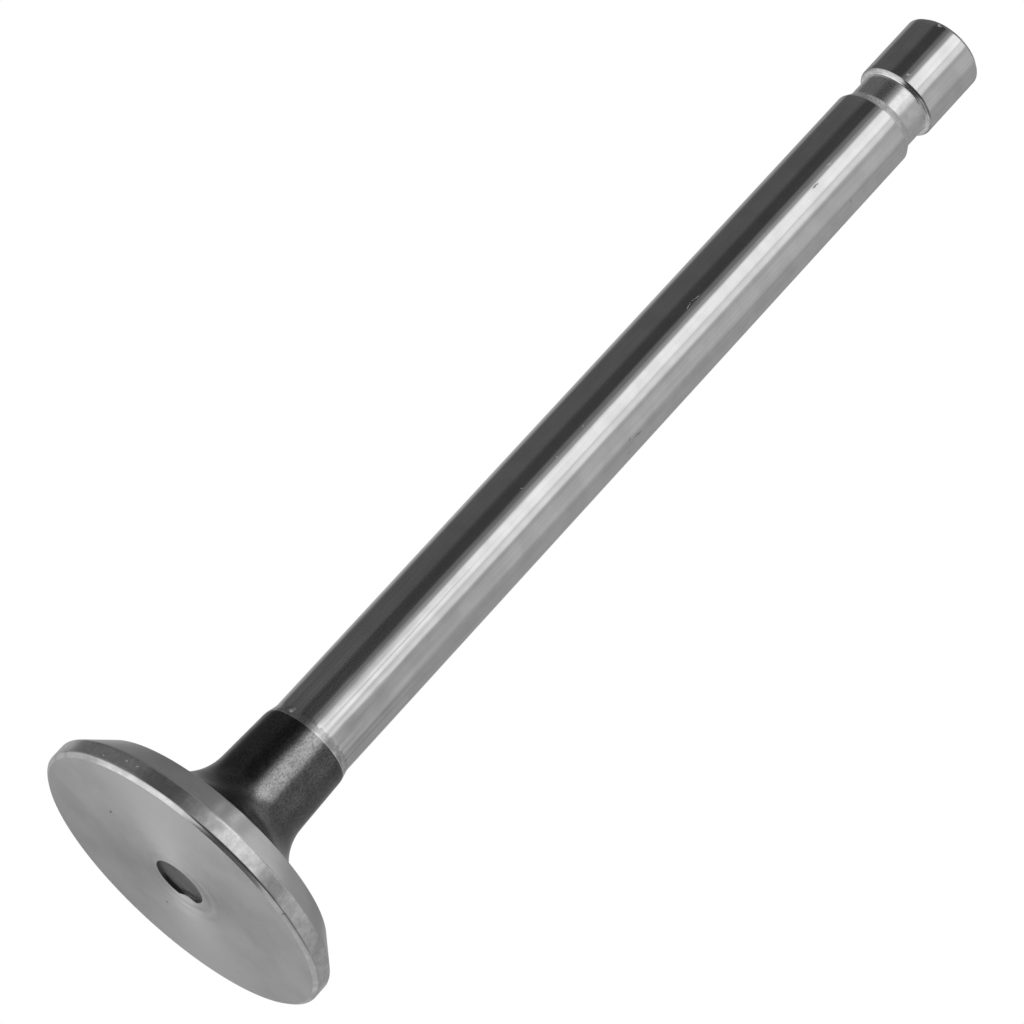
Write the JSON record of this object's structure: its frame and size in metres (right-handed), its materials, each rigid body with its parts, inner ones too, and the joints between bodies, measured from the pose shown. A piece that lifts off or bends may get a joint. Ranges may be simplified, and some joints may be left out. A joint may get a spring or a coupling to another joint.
{
  "type": "engine valve",
  "caption": "Poppet valve: flat round head with an angled seat, filleted neck and long ground stem with a keeper groove near its tip.",
  "frame": {"origin": "centre of the flat combustion face, which the valve stands on", "axes": "+Z along the stem from the head to the tip; X and Y lie in the combustion face and are alike"},
  "size_m": [0.0346, 0.0346, 0.1267],
  "materials": {
    "valve_steel": "ground bright stem and tip, satin turned head, dark forged scale on the neck"
  },
  "bodies": {
    "root": {"valve": "valve_steel"}
  },
  "joints": []
}
